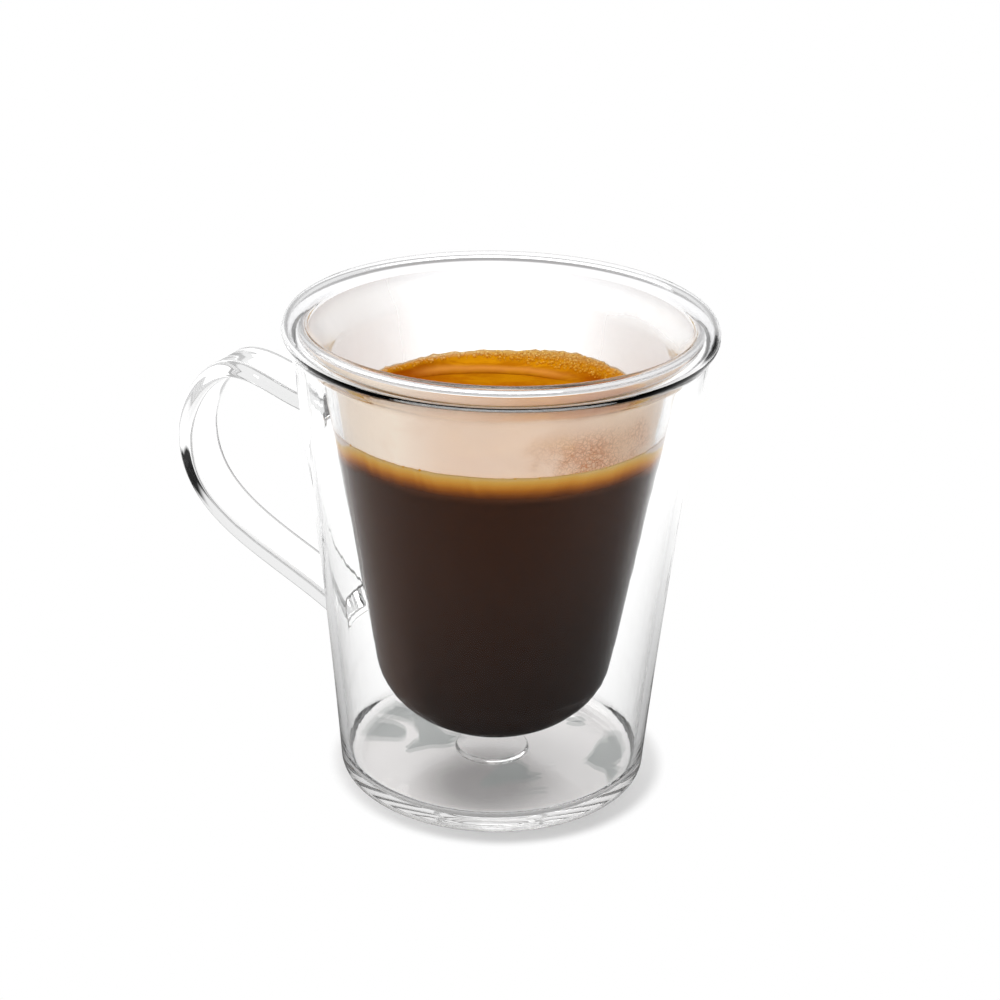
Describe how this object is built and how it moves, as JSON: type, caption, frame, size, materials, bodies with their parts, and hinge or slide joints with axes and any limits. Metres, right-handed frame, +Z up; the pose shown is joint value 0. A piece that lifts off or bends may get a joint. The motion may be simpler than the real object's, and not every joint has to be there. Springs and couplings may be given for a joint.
{
  "type": "coffee drink in a double-walled glass mug",
  "caption": "Black coffee with a golden crema in a tapered double-walled glass mug with a rolled rim and a flat strap handle.",
  "frame": {"origin": "centre of the mug's foot, on the plane that the mug stands on", "axes": "+Z up along the mug's axis; the handle leaves the wall towards -X"},
  "size_m": [0.1155, 0.086, 0.0994],
  "materials": {
    "clear_glass": "clear colourless blown glass, fire-polished, with a breath of condensation inside above the drink",
    "coffee": "very dark brown liquid coffee, smooth",
    "crema": "fine golden brown foam, streaked darker and paler, moist"
  },
  "bodies": {
    "root": {"glass_mug": "clear_glass", "coffee": "coffee", "crema": "crema"}
  },
  "joints": []
}
